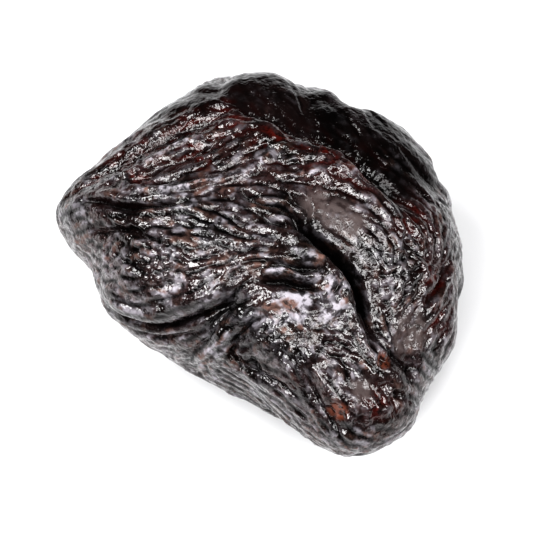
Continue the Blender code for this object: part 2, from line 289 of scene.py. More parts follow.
@dataclass
class SkinLattice:
    """The surface of a box cut into cells and wrapped on a sphere: a closed grid of quads without poles.

    A point's way is tan(pi/4 * (u, v, w)), scaled to length 1. Each of u, v and w runs from -1 to 1.
    """

    cells: tuple[int, int, int] = (160, 138, 84)
    ways: Array = field(init=False)
    quads: Array = field(init=False)

    def __post_init__(self) -> None:
        """Numbers the box's surface points and joins them into quads that face out."""
        nx, ny, nz = self.cells
        i, j, k = np.meshgrid(*(np.arange(n + 1) for n in self.cells), indexing="ij")
        shell = (i % nx == 0) | (j % ny == 0) | (k % nz == 0)
        number = np.full(shell.shape, -1)
        number[shell] = np.arange(shell.sum())
        box = np.stack([2 * i[shell] / nx - 1, 2 * j[shell] / ny - 1, 2 * k[shell] / nz - 1], 1)
        self.ways = unit(np.tan(box * np.pi / 4))
        sides = ((number[:, :, 0], True), (number[:, :, -1], False), (number[:, 0, :], False),
                 (number[:, -1, :], True), (number[0, :, :], True), (number[-1, :, :], False))
        self.quads = np.concatenate([self.quads_of(grid, flip) for grid, flip in sides])

    @staticmethod
    def quads_of(grid: Array, flip: bool) -> Array:
        """The quads of one side's grid of point numbers, turned over if flip."""
        corners = np.stack([grid[:-1, :-1], grid[1:, :-1], grid[1:, 1:], grid[:-1, 1:]], -1).reshape(-1, 4)
        return corners[:, ::-1] if flip else corners

    def normals(self, points: Array) -> Array:
        """Normals of the surface, each the sum of the area vectors of the quads round a point.

        Args:
            points: the surface's points.

        Returns:
            Unit vectors.
        """
        a, b, c, d = (points[self.quads[:, i]] for i in range(4))
        faces = np.cross(c - a, d - b)
        total = np.stack([sum(np.bincount(self.quads[:, i], faces[:, axis], len(points)) for i in range(4))
                          for axis in range(3)], 1)
        return unit(total)

    def flow(self, points: Array) -> tuple[Array, Array]:
        """Neighbours and weights of a surface Laplacian.

        The weight of the edge between two points is the area of its two quads / (2 * length^2), over the
        area round the point.

        Args:
            points: the surface's points.

        Returns:
            (4, n) neighbour numbers and (4, n) weights, 0 for the fourth of a point with three neighbours.
        """
        count = len(points)
        ends = np.concatenate([self.quads[:, [i, (i + 1) % 4]] for i in range(4)])
        a, b, c, d = (points[self.quads[:, i]] for i in range(4))
        area = length_of(np.cross(c - a, d - b)) / 2
        round_point = sum(np.bincount(self.quads[:, i], area / 4, count) for i in range(4))
        ends.sort(axis=1)
        edge, where = np.unique(ends[:, 0] * count + ends[:, 1], return_inverse=True)
        first, second = edge // count, edge % count
        gap = points[first] - points[second]
        weight = np.bincount(where.reshape(-1), np.tile(area, 4)) / (2 * np.einsum("ij,ij->i", gap, gap))
        start, end = np.concatenate([first, second]), np.concatenate([second, first])
        order = np.argsort(start, kind="stable")
        start, end, weight = start[order], end[order], np.tile(weight, 2)[order]
        begins, has = np.searchsorted(start, np.arange(count)), np.bincount(start, minlength=count)
        neighbours, weights = np.zeros((4, count), int), np.zeros((4, count))
        for i in range(4):
            there = has > i
            neighbours[i, there] = end[begins[there] + i]
            weights[i, there] = weight[begins[there] + i] / round_point[there]
        return neighbours, weights


@dataclass
class LongFolds:
    """The folds that give this prune its look, by name, and how the skin bends into them."""

    body: PlumBody
    folds: dict[str, Fold] = field(default_factory=lambda: {
        "main furrow": Fold(0.52, 2.30, hollow=0.6, step=-0.4, ends=(0.20, 0.32), pinch=0.40, route=(
            (144, 0.04), (70, 0.03), (30, 0.05), (24, 0.10), (22, 0.15), (20, 0.21), (18, 0.27), (15, 0.32),
            (11, 0.36), (8, 0.41), (7, 0.48), (7, 0.59))),
        "furrow head": Fold(0.32, 0.90, hollow=0.2, ends=(0.15, 0.40), pinch=0.50, route=(
            (-161, 0.13), (-158, 0.08), (-165, 0.04), (139, 0.02), (64, 0.04), (34, 0.06))),
        "furrow lip": Fold(0.30, 0.80, ends=(0.25, 0.40), pinch=0.50, route=(
            (-135, 0.07), (-123, 0.04), (-84, 0.03), (-23, 0.03), (4, 0.05), (20, 0.10))),
        "left fold": Fold(0.32, 1.00, hollow=0.1, step=0.1, ends=(0.20, 0.30), route=(
            (-135, 0.75), (-134, 0.60), (-131, 0.49), (-130, 0.40), (-131, 0.32), (-132, 0.26),
            (-138, 0.18))),
        "second left fold": Fold(0.36, 0.60, route=(
            (-126, 0.75), (-124, 0.60), (-121, 0.50), (-116, 0.45), (-110, 0.36))),
        "red band": Fold(0.70, 0.70, hollow=0.4, pinch=0.40, route=(
            (-139, 0.75), (-143, 0.69), (-147, 0.63), (-152, 0.59), (-158, 0.55), (-165, 0.52), (-173, 0.49),
            (175, 0.43), (165, 0.34))),
        "band ridge": Fold(0.35, -0.35, ends=(0.20, 0.20), pinch=0, route=(
            (-141, 0.60), (-143, 0.52), (-148, 0.47), (-156, 0.44), (-166, 0.41), (-177, 0.38))),
        "twin ridge groove": Fold(0.40, 0.60, pinch=0.50, route=(
            (-138, 0.46), (-144, 0.41), (-151, 0.38), (-161, 0.35), (-171, 0.33), (-179, 0.32))),
        "wavy ridge": Fold(0.40, -0.50, ends=(0.20, 0.20), pinch=0, route=(
            (-137, 0.52), (-137, 0.39), (-139, 0.30), (-144, 0.25), (-153, 0.21), (-164, 0.18), (-177, 0.16),
            (167, 0.17), (152, 0.21), (137, 0.24))),
        "far top band": Fold(0.80, 0.70, hollow=0.6, step=-0.4, ends=(0.20, 0.20), pinch=0.50, route=(
            (169, 0.55), (160, 0.39), (142, 0.34), (118, 0.33), (91, 0.34), (72, 0.41), (56, 0.49))),
        "lower left fold": Fold(0.48, 1.50, hollow=0.3, step=0.3, ends=(0.35, 0.20), pinch=0.65, route=(
            (-107, 0.94), (-101, 0.90), (-94, 0.85), (-87, 0.79), (-82, 0.71), (-77, 0.61), (-70, 0.50),
            (-64, 0.40), (-58, 0.32))),
        "second lower left": Fold(0.38, 0.70, step=0.2, ends=(0.35, 0.25), route=(
            (-103, 1.00), (-94, 0.96), (-84, 0.87), (-76, 0.74), (-69, 0.60), (-63, 0.47), (-57, 0.38))),
        "lower lobe edge": Fold(0.50, 0.60, ends=(0.45, 0.25), pinch=0.50, route=(
            (-74, 1.02), (-70, 0.80), (-65, 0.60), (-59, 0.43), (-51, 0.34))),
        "upper slot": Fold(0.26, 0.90, ends=(0.15, 0.15), pinch=0.40, route=(
            (-47, 0.21), (-37, 0.17), (-15, 0.13), (-2, 0.15), (7, 0.20))),
        "lower slot": Fold(0.30, 1.40, ends=(0.20, 0.12), pinch=0.35, route=(
            (-51, 0.29), (-40, 0.25), (-27, 0.20), (-15, 0.18), (-7, 0.19))),
        "slot bridge": Fold(0.26, -0.30, ends=(0.15, 0.15), pinch=0, route=(
            (-50, 0.25), (-38, 0.20), (-24, 0.16), (-10, 0.16), (-3, 0.18))),
        "slot lip": Fold(0.44, -0.45, ends=(0.15, 0.15), pinch=0, route=(
            (-13, 0.15), (-2, 0.17), (2, 0.19), (2, 0.22), (-4, 0.23), (-15, 0.22), (-30, 0.26),
            (-43, 0.33))),
        "slot side": Fold(0.26, 0.60, ends=(0.20, 0.20), pinch=0.40, route=(
            (9, 0.21), (8, 0.24), (1, 0.24), (-10, 0.23))),
        "furrow side band": Fold(0.46, -0.45, ends=(0.15, 0.15), pinch=0, route=(
            (10, 0.19), (11, 0.24), (10, 0.28), (3, 0.28), (-4, 0.28), (-12, 0.28))),
        "upper band": Fold(0.42, -0.35, ends=(0.15, 0.15), pinch=0, route=(
            (-18, 0.08), (-6, 0.10), (5, 0.14), (10, 0.17))),
        "curl": Fold(0.40, -0.45, ends=(0.15, 0.15), pinch=0, route=(
            (-42, 0.40), (-40, 0.35), (-35, 0.31), (-29, 0.28), (-24, 0.29), (-24, 0.33), (-30, 0.37))),
        "hooked fold": Fold(0.45, 0.60, hollow=0.2, step=-0.1, ends=(0.20, 0.25), route=(
            (-41, 0.38), (-48, 0.46), (-51, 0.53), (-54, 0.61), (-55, 0.70), (-52, 0.74), (-46, 0.78),
            (-39, 0.73), (-31, 0.68), (-25, 0.69))),
        "stem end crease": Fold(0.45, 0.50, hollow=0.2, step=0.1, pinch=0.50, route=(
            (-22, 0.47), (-21, 0.57), (-18, 0.66), (-15, 0.75))),
        "right crease": Fold(0.34, 0.50, hollow=0.1, step=0.1, route=(
            (52, 0.72), (46, 0.69), (39, 0.65), (33, 0.61), (26, 0.60))),
        "stem scar": Fold(0.50, 0.80, hollow=0.3, ends=(0.35, 0.25), pinch=0.50, route=(
            (7, 0.54), (8, 0.61), (10, 0.72))),
        "corner groove": Fold(0.34, 0.90, ends=(0.25, 0.40), pinch=0.50, route=(
            (130, 0.06), (104, 0.06), (80, 0.08), (58, 0.07), (38, 0.07))),
        "glint ridge": Fold(0.42, -0.40, ends=(0.20, 0.20), pinch=0, route=(
            (166, 0.12), (142, 0.13), (122, 0.15), (105, 0.19), (98, 0.26), (92, 0.29), (88, 0.33))),
        "far side fold": Fold(0.80, 1.60, hollow=0.7, step=0.4, route=(
            (118, 0.60), (125, 0.80), (128, 1.02), (122, 1.25), (108, 1.45))),
        "far side crease": Fold(0.60, 1.10, hollow=0.4, step=-0.3, route=(
            (85, 0.82), (80, 0.98), (84, 1.14), (96, 1.35))),
        "far end fold": Fold(0.80, 1.50, hollow=0.7, step=0.4, route=(
            (158, 0.76), (160, 1.00), (166, 1.22), (180, 1.42), (208, 1.50))),
        "far end crease": Fold(0.55, 1.00, hollow=0.4, route=(
            (-176, 0.92), (-170, 1.08), (-160, 1.24), (-146, 1.40))),
        "near side fold": Fold(0.80, 1.50, hollow=0.6, step=0.4, route=(
            (-88, 1.24), (-70, 1.28), (-52, 1.34), (-34, 1.42), (-10, 1.52))),
        "near side crease": Fold(0.60, 1.00, hollow=0.4, route=(
            (-40, 1.16), (-28, 1.19), (-14, 1.24), (0, 1.34))),
        "stem side fold": Fold(0.70, 1.40, hollow=0.6, step=0.3, route=(
            (48, 0.90), (44, 1.05), (37, 1.24), (30, 1.40), (40, 1.54))),
        "underside fold": Fold(0.80, 1.50, hollow=0.7, route=(
            (-132, 1.22), (-116, 1.36), (-96, 1.46), (-66, 1.56))),
    })
    shoulder_rise: float = 0.18   # as a share of the depth
    shoulder_place: float = 2.2   # from here to outer_reach, in widths of the fold
    shoulder_breadth: float = 1.1
    step_slope: float = 0.6
    step_reach: float = 4.0
    hollow_reach: float = 3.4
    both_sides: float = 0.6       # share of a hollow on either side where the fold has no step
    lip_reach: float = 1.5
    outer_reach: float = 9.0      # beyond this a fold does nothing
    wall_mark: float = 0.3        # how many widths each mm of its depth adds to a fold's painted shade
    crest_mark: float = 0.9       # width of a raised ridge's crest mark, which gets a painted highlight, in its widths
    hollow_mark: float = 0.85     # how dark the painted shade of a deep hollow is
    full_fold: float = 1.0        # depth in mm from which a fold's painted shade is at its full
    full_ridge: float = 0.5       # height from which a raised ridge's is
    full_hollow: float = 0.5      # and depth from which a hollow's is

    @staticmethod
    def around(points: Array, line: Array, margin: float) -> Array:
        """Numbers of the points that are inside a line's box, grown by margin."""
        inside = ((points > line.min(axis=0) - margin) & (points < line.max(axis=0) + margin)).all(axis=1)
        return np.flatnonzero(inside)

    @staticmethod
    def nearest(points: Array, normals: Array, line: Array) -> tuple[Array, Array, Array, Array]:
        """The closest point of a line to each point.

        Args:
            points: where to measure from.
            normals: the skin's outward vectors there, which tell the line's left from its right.
            line: the line's own points in order.

        Returns:
            Distances, signed distances to the left, shares of the line's length, and vectors to the line.
        """
        distance = np.full(len(points), np.inf)
        side, share, toward = np.zeros(len(points)), np.zeros(len(points)), np.zeros_like(points)
        for i, (start, end) in enumerate(zip(line[:-1], line[1:])):
            run = end - start
            t = np.clip((points - start) @ run / (run @ run), 0, 1)
            gap = points - start - t[:, None] * run
            far = length_of(gap)
            closer = far < distance
            distance[closer] = far[closer]
            signed = np.einsum("ij,ij->i", np.cross(normals, run / np.linalg.norm(run)), gap)
            side[closer] = signed[closer]
            share[closer] = ((i + t) / (len(line) - 1))[closer]
            toward[closer] = -gap[closer]
        return distance, side, share, toward

    def bend(self, points: Array, normals: Array) -> tuple[Array, Array, Array, Array]:
        """How the folds move the skin.

        A fold of width w adds -depth * cut(d, w), round shoulders, a step tanh(side / 0.6w) * bump(d, 4w)
        and a hollow. On its low side, where low_side goes up to 1, the hollow is deepest and the shoulder
        lowest. Its lips slide sideways towards it by pinch * d * bump(d, 1.5w), which closes them over the
        cut and never past each other. A fold gets painted shade: the deeper it is, the farther up its walls,
        and a deep hollow gets painted shade too. A raised ridge marks its crest, which gets a painted
        highlight.

        Args:
            points: points on the plump body.
            normals: outward vectors there.

        Returns:
            Heights to add, sideways moves, and how deep in a fold each point is, with its painted shade, and
            how near a raised ridge's crest, for its painted highlight, both from 0 to 1.
        """
        height, slide = np.zeros(len(points)), np.zeros_like(points)
        crease, crest = np.zeros(len(points)), np.zeros(len(points))
        for fold in self.folds.values():
            width, depth = MM * fold.width, MM * fold.depth
            line = self.body.line(fold.route)
            near = self.around(points, line, self.outer_reach * width)
            distance, side, share, toward = self.nearest(points[near], normals[near], line)
            fade = smoothstep(share, 0, fold.ends[0]) * smoothstep(1 - share, 0, fold.ends[1])
            low_side = self.both_sides - (1 - self.both_sides) * np.sign(fold.step) * np.tanh(side / width)
            dip = low_side * bump(distance, self.hollow_reach * width)
            step = np.tanh(side / (self.step_slope * width)) * bump(distance, self.step_reach * width)
            shoulder = bump(distance - self.shoulder_place * width, self.shoulder_breadth * width)
            shoulder *= self.shoulder_rise * depth * (1 + self.both_sides - low_side)
            lift = MM * (fold.step * step - fold.hollow * dip)
            height[near] += fade * (shoulder + lift - depth * cut(distance, width))
            slide[near] += (fold.pinch * fade * bump(distance, self.lip_reach * width))[:, None] * toward
            # A fold's mark and its hollow's shade become painted shade; a raised ridge's mark becomes a
            # painted highlight.
            if depth > 0:
                level, full, spread = crease, self.full_fold, 1 + self.wall_mark * fold.depth
            else:
                level, full, spread = crest, -self.full_ridge, self.crest_mark
            mark = min(1, fold.depth / full) * bump(distance, spread * width)
            shade = self.hollow_mark * min(1, fold.hollow / self.full_hollow) * dip
            level[near] = np.maximum(level[near], fade * np.maximum(mark, shade))
        return height, slide, crease, crest

    def runs(self, spots: Array, normals: Array) -> Array:
        """Which way the nearest fold runs.

        Args:
            spots: points on the plump body.
            normals: outward vectors there.

        Returns:
            Unit vectors that lie in the skin.
        """
        best = np.full(len(spots), np.inf)
        runs = np.zeros_like(spots)
        for fold in self.folds.values():
            line = self.body.line(fold.route)
            middles, steps = (line[:-1] + line[1:]) / 2, np.diff(line, axis=0)
            gaps = np.linalg.norm(spots[:, None] - middles[None], axis=2)
            closest = gaps.argmin(axis=1)
            distance = gaps[np.arange(len(spots)), closest]
            closer = distance < best
            best[closer] = distance[closer]
            runs[closer] = steps[closest[closer]]
        return unit(runs - normals * np.einsum("ij,ij->i", runs, normals)[:, None])


@dataclass(frozen=True)
class Lobes:
    """Broad lobes of flesh and the gentle unevenness of the whole body."""

    body: PlumBody
    lobes: tuple[tuple[Place, float, float], ...] = (   # place, radius, rise
        ((-100, 0.40), 6.5 * MM, 0.7 * MM),
        ((-20, 0.06), 3.6 * MM, 0.7 * MM),
        ((-31, 0.47), 4.0 * MM, 0.6 * MM),
        ((52, 0.38), 5.5 * MM, 0.7 * MM),
        ((-6, 0.62), 4.0 * MM, 0.6 * MM),
        ((140, 0.70), 6.5 * MM, 0.5 * MM),
    )
    swells: int = 10
    swell_height: float = 0.12 * MM
    swell_wave: tuple[float, float] = (11 * MM, 18 * MM)

    def swell(self, points: Array, random: np.random.Generator) -> Array:
        """A few long sine waves in seeded directions.

        Args:
            points: points on the plump body.
            random: the seeded source of each wave's direction, length and start.

        Returns:
            The sum of their heights.
        """
        height = np.zeros(len(points))
        for _ in range(self.swells):
            way = random.normal(size=3)
            way /= np.linalg.norm(way)
            wave, start = random.uniform(*self.swell_wave), random.uniform(0, 2 * np.pi)
            height += self.swell_height * np.sin(2 * np.pi * points @ way / wave + start)
        return height

    def rise(self, points: Array) -> Array:
        """The lobes, each a round hump.

        Args:
            points: points on the plump body.

        Returns:
            The sum of their heights.
        """
        height = np.zeros(len(points))
        for place, radius, rise in self.lobes:
            height += rise * self.body.hump(points, place, radius)
        return height


@dataclass(frozen=True)
class ShortCreases:
    """Short creases between the folds, each roughly in line with the nearest one, with raised sides."""

    folds: LongFolds
    count: int = 54
    length: tuple[float, float] = (4 * MM, 9 * MM)
    width: float = 0.8 * MM
    depth: tuple[float, float] = (0.15 * MM, 0.40 * MM)
    turn: float = 0.45           # how far one turns from the nearest fold, in radians
    bend: float = 0.25           # how far one bends aside, as a share of its length
    side_rise: float = 0.35      # height of its raised sides, as a share of its depth
    side_place: float = 2.0      # how far they are from its line, in its widths
    thickness: float = 3 * MM    # how far from the skin's spot it still counts, outwards and inwards

    def height(self, points: Array, random: np.random.Generator) -> Array:
        """The creases: each a bent line's cut, less a hump on either side of it.

        Args:
            points: points on the plump body.
            random: the seeded source of each one's turn, length, depth and bend.

        Returns:
            The sum of their heights.
        """
        spots = self.folds.body.even_spots(self.count)
        normals = self.folds.body.outward(spots)
        height = np.zeros(len(points))
        for spot, normal, run in zip(spots, normals, self.folds.runs(spots, normals)):
            turn, half = random.normal(0, self.turn), random.uniform(*self.length) / 2
            depth, bend = random.uniform(*self.depth), random.uniform(-self.bend, self.bend)
            run = run * np.cos(turn) + np.cross(normal, run) * np.sin(turn)
            gap = points - spot
            along = gap @ run
            across = np.abs(gap @ np.cross(normal, run) - bend * along**2 / half)
            sides = bump(across - self.side_place * self.width, self.width)
            section = cut(across, self.width) - self.side_rise * sides
            height -= depth * section * np.exp(-((along / half) ** 4)) * bump(gap @ normal, self.thickness)
        return height


@dataclass(frozen=True)
class Wrinkles:
    """Wrinkles as stripes that mostly run along the folds and branch where patches of them meet."""

    folds: LongFolds
    wave: float = 3.1 * MM
    patches: int = 420
    spread: float = 0.5      # how far a patch may turn from its fold, in radians
    jitter: float = 0.12     # how much the spacing varies from patch to patch
    radius: float = 1.55     # of a patch, in waves
    reach: float = 3.0       # how far from its middle a patch counts, in radii

    def phase(self, points: Array, random: np.random.Generator) -> Array:
        """The stripes' phase: the angle of the sum of each patch's wave, weighted by a round hump.

        Args:
            points: points on the plump body.
            random: the seeded source of each patch's turn, spacing and start.

        Returns:
            Angles from -pi to pi: 0 on a stripe's back and pi in the valley beside it.
        """
        body, radius = self.folds.body, self.radius * self.wave
        spots = body.even_spots(self.patches)
        normals = body.outward(spots)
        order = np.argsort(points[:, 0])
        sorted_points = points[order]
        real, imaginary = np.zeros(len(points)), np.zeros(len(points))
        for spot, normal, run in zip(spots, normals, self.folds.runs(spots, normals)):
            turn, wave = random.normal(0, self.spread), self.wave * np.exp(random.normal(0, self.jitter))
            across = np.cross(normal, run) * np.cos(turn) + run * np.sin(turn)
            ends = spot[0] + self.reach * radius * np.array([-1, 1])
            first, last = np.searchsorted(sorted_points[:, 0], ends)
            gap = sorted_points[first:last] - spot
            weight = bump(length_of(gap), radius)
            angle = 2 * np.pi * (gap @ across) / wave + random.uniform(0, 2 * np.pi)
            real[first:last] += weight * np.cos(angle)
            imaginary[first:last] += weight * np.sin(angle)
        phase = np.empty(len(points))
        phase[order] = np.arctan2(imaginary, real)
        return phase


@dataclass(frozen=True)
class Grain:
    """Streaks in the skin that run along the folds: a sum of plane waves.

    Each wave counts at a point by exp(-k a.T.a - m (a.n)^2). Its direction is a, T is the mean of r r^T for
    the runs r of the folds nearby, and n is the skin's outward vector: waves across the folds count most.
    """

    folds: LongFolds
    waves: int = 500
    along: float = 9.0         # k: the higher, the longer the streaks
    flat: float = 4.0          # m: the higher, the more even their spacing
    jitter: float = 0.18       # how much the spacing varies
    spots: int = 420
    reach: float = 2.0 * MM    # how far round a point its folds are looked for

    def runs(self, points: Array, curl: Array) -> Array:
        """How directed the skin is, and which way.

        Args:
            points: points on the plump body.
            curl: how curly the skin is there, from 0 to 1, which makes it less directed.

        Returns:
            The 9 numbers of T in each row.
        """
        body = self.folds.body
        spots = body.even_spots(self.spots)
        runs = self.folds.runs(spots, body.outward(spots))
        products = np.einsum("ij,ik->ijk", runs, runs).reshape(-1, 9)
        apart = (points**2).sum(axis=1)[:, None] + (spots**2).sum(axis=1)[None] - 2 * points @ spots.T
        weights = np.exp(-np.maximum(apart, 0) / self.reach**2)
        mean = weights @ products / weights.sum(axis=1)[:, None]
        return mean * (1 - curl)[:, None]

    def field(self, points: Array, normals: Array, runs: Array, spacing: float,
              random: np.random.Generator) -> Array:
        """The streaks' height.

        Args:
            points: points on the plump body.
            normals: outward vectors there.
            runs: T at the points.
            spacing: distance from streak to streak.
            random: the seeded source of the waves.

        Returns:
            Heights with a spread of 1.
        """
        ways = random.normal(size=(self.waves, 3))
        ways /= np.linalg.norm(ways, axis=1)[:, None]
        number = 2 * np.pi / (spacing * np.exp(random.normal(0, self.jitter, self.waves)))
        start = random.uniform(0, 2 * np.pi, self.waves)
        pairs = np.einsum("ij,ik->ijk", ways, ways).reshape(-1, 9)
        counts = np.exp(-self.along * runs @ pairs.T - self.flat * (normals @ ways.T) ** 2)
        height = (counts * np.cos(points @ (ways * number[:, None]).T + start)).sum(axis=1)
        return height / np.sqrt((counts**2).sum(axis=1) / 2)


@dataclass(frozen=True)
class FineRidges:
    """The net of fine ridges that a skin buckles into when it dries and shrinks.

    The pattern u starts as stripes along the folds and relaxes by
    du/dt = r u - (1 + L/k^2)^2 u + g u^2 - u^3, with L the surface Laplacian and k = 2 pi / spacing. Stripes
    keep their spacing and branch, bend and close where the folds squeeze them.
    """

    spacing: float = 1.05 * MM
    growth: float = 0.7        # r
    sharpness: float = 0.35    # g
    steps: int = 260
    pace: float = 1.8          # length of a step, just under the 2 at which the sum would grow without end
    steepest: float = 9.0      # highest weight sum that one step may carry

    def pattern(self, lattice: SkinLattice, points: Array, start: Array) -> Array:
        """Relaxes the start pattern on the surface.

        Args:
            lattice: the grid that the points belong to.
            points: the surface.
            start: the pattern to begin with, about 1 on ridges and -1 in valleys.

        Returns:
            The pattern, scaled to a spread of 1.
        """
        neighbours, weights = lattice.flow(points)
        weights = weights / (2 * np.pi / self.spacing) ** 2
        weights = (weights * np.minimum(1, self.steepest / weights.sum(axis=0))).astype(np.float32)
        total = weights.sum(axis=0)

        def smooth(u: Array) -> Array:
            """u plus its Laplacian in units of k."""
            return u + sum(weights[i] * u[neighbours[i]] for i in range(4)) - total * u

        u = start.astype(np.float32)
        step = self.pace / (2 * self.steepest - 1) ** 2
        for _ in range(self.steps):
            u = u + step * (self.growth * u - smooth(smooth(u)) + self.sharpness * u * u - u**3)
        return u / u.std()


@dataclass(frozen=True)
class SkinMarks:
    """Marks on the skin, by the state that they put it in."""

    body: PlumBody
    marks: dict[State, Marks] = field(default_factory=lambda: {
        State.CURLY: (
            (45, 0.46, 3.2), (28, 0.40, 2.8), (-35, 0.36, 2.4), (110, 0.20, 3.2), (-5, 0.62, 3.2),
            (-104, 0.42, 3.6), (-116, 0.66, 3.2), (-148, 0.54, 3.2), (-172, 0.40, 3.0), (-20, 1.2, 5.0),
            (-150, 1.3, 5.0)),
        # smooth skin of the far side, with painted shade: its bloom is taken away and it is darkened almost
        # to black
        State.SMOOTH_SHADED: (
            (-179, 0.72, 2.6), (172, 0.62, 3.2), (156, 0.58, 3.4), (138, 0.58, 3.8), (120, 0.56, 3.8),
            (102, 0.58, 3.6), (86, 0.66, 3.2), (-165, 0.84, 2.2), (160, 0.46, 2.2), (141, 0.44, 2.4),
            (122, 0.41, 2.2), (101, 0.43, 2.2), (80, 0.49, 2.0), (150, 0.86, 4.5), (110, 0.90, 4.5)),
        State.DULL: (
            (80, 0.11, 1.3), (60, 0.16, 1.5), (52, 0.22, 1.1), (19, 0.62, 1.7), (15, 0.61, 1.2),
            (-7, 0.55, 1.0)),
        State.SLEEK: (
            (-35, 0.31, 2.2), (-15, 0.21, 2.4), (5, 0.24, 1.8), (40, 0.14, 1.6), (27, 0.22, 1.5),
            (23, 0.30, 1.3), (15, 0.38, 1.1)),
        # patches of extra bloom, partly bloom and partly a painted highlight
        State.PAINTED_HIGHLIGHT: (
            (-87, 0.49, 1.8), (-78, 0.41, 1.8), (-67, 0.33, 1.5), (-80, 0.85, 2.4), (-67, 0.83, 2.0),
            (-26, 0.31, 1.6), (-36, 0.36, 1.4), (-8, 0.27, 1.4), (-162, 0.86, 1.5), (-172, 0.84, 1.5)),
        State.FLESH: ((4, 0.54, 0.8), (-16, 0.62, 1.0)),
        State.HOLE: ((-44, 0.72, 0.75), (10, 0.72, 0.65), (2, 0.70, 0.4)),
        State.RED: (
            (-142, 0.66, 2.0), (-147, 0.60, 2.4), (-158, 0.54, 2.6), (-172, 0.50, 2.8), (172, 0.40, 2.8),
            (-145, 0.44, 2.0), (-165, 0.34, 2.2), (150, 0.26, 2.6), (118, 0.26, 2.6), (92, 0.32, 2.4),
            (60, 0.46, 2.2), (40, 0.62, 2.0), (30, 0.68, 2.0), (-4, 0.66, 1.4), (-108, 1.25, 4.0),
            (70, 1.20, 4.0)),
    })
    edges: tuple[tuple[State, float, float], ...] = (   # levels between which some marks set in
        (State.SMOOTH_SHADED, 0.15, 0.75), (State.DULL, 0.15, 0.75), (State.SLEEK, 0.15, 0.75),
        (State.FLESH, 0.35, 0.75))

    def levels(self, points: Array) -> Levels:
        """How strong the marks are: the largest of a state's round humps, with its edge drawn.

        Args:
            points: points on the plump body.

        Returns:
            The states' levels.
        """
        levels = {state: np.maximum.reduce([self.body.hump(points, mark[:2], MM * mark[2]) for mark in marks])
                  for state, marks in self.marks.items()}
        return levels | {state: smoothstep(levels[state], *edge) for state, *edge in self.edges}


def srgb(code: str) -> tuple[float, float, float, float]:
    """Turns an sRGB hex colour into the linear colour that shaders take."""
    parts = [int(code[i:i + 2], 16) / 255 for i in (1, 3, 5)]
    return (*(c / 12.92 if c <= 0.04045 else ((c + 0.055) / 1.055) ** 2.4 for c in parts), 1.0)


def add_node(tree: Tree, kind: str, inputs: dict | None = None, **settings: object) -> bpy.types.Node:
    """Adds one shader node.

    Args:
        tree: the material's node tree.
        kind: the node's type name without "ShaderNode".
        inputs: by input name or number, a constant, or the output socket to link to it.
        settings: the node's own properties.

    Returns:
        The node.
    """
    node = tree.nodes.new("ShaderNode" + kind)
    for name, value in settings.items():
        setattr(node, name, value)
    for name, value in (inputs or {}).items():
        if isinstance(value, Socket):
            tree.links.new(value, node.inputs[name])
        else:
            node.inputs[name].default_value = value
    return node


@dataclass(frozen=True)
class Blotches:
    """A blotchy pattern on the skin: noise, with its levels from low to high spread from least to most."""

    size: float
    low: float
    high: float
    least: float = 0.0
    most: float = 1.0
    detail: float = 3.0
    roughness: float = 0.5

    def share(self, tree: Tree, where: Socket) -> Socket:
        """Adds the pattern to a material.

        Args:
            tree: the material's node tree.
            where: Object coordinates.

        Returns:
            The pattern's level, from least to most.
        """
        noise = add_node(tree, "TexNoise", {"Vector": where, "Scale": 1 / self.size, "Detail": self.detail,
                                            "Roughness": self.roughness})
        levels = {"Value": noise.outputs["Fac"], "From Min": self.low, "From Max": self.high,
                  "To Min": self.least, "To Max": self.most}
        return add_node(tree, "MapRange", levels, interpolation_type="SMOOTHSTEP").outputs["Result"]


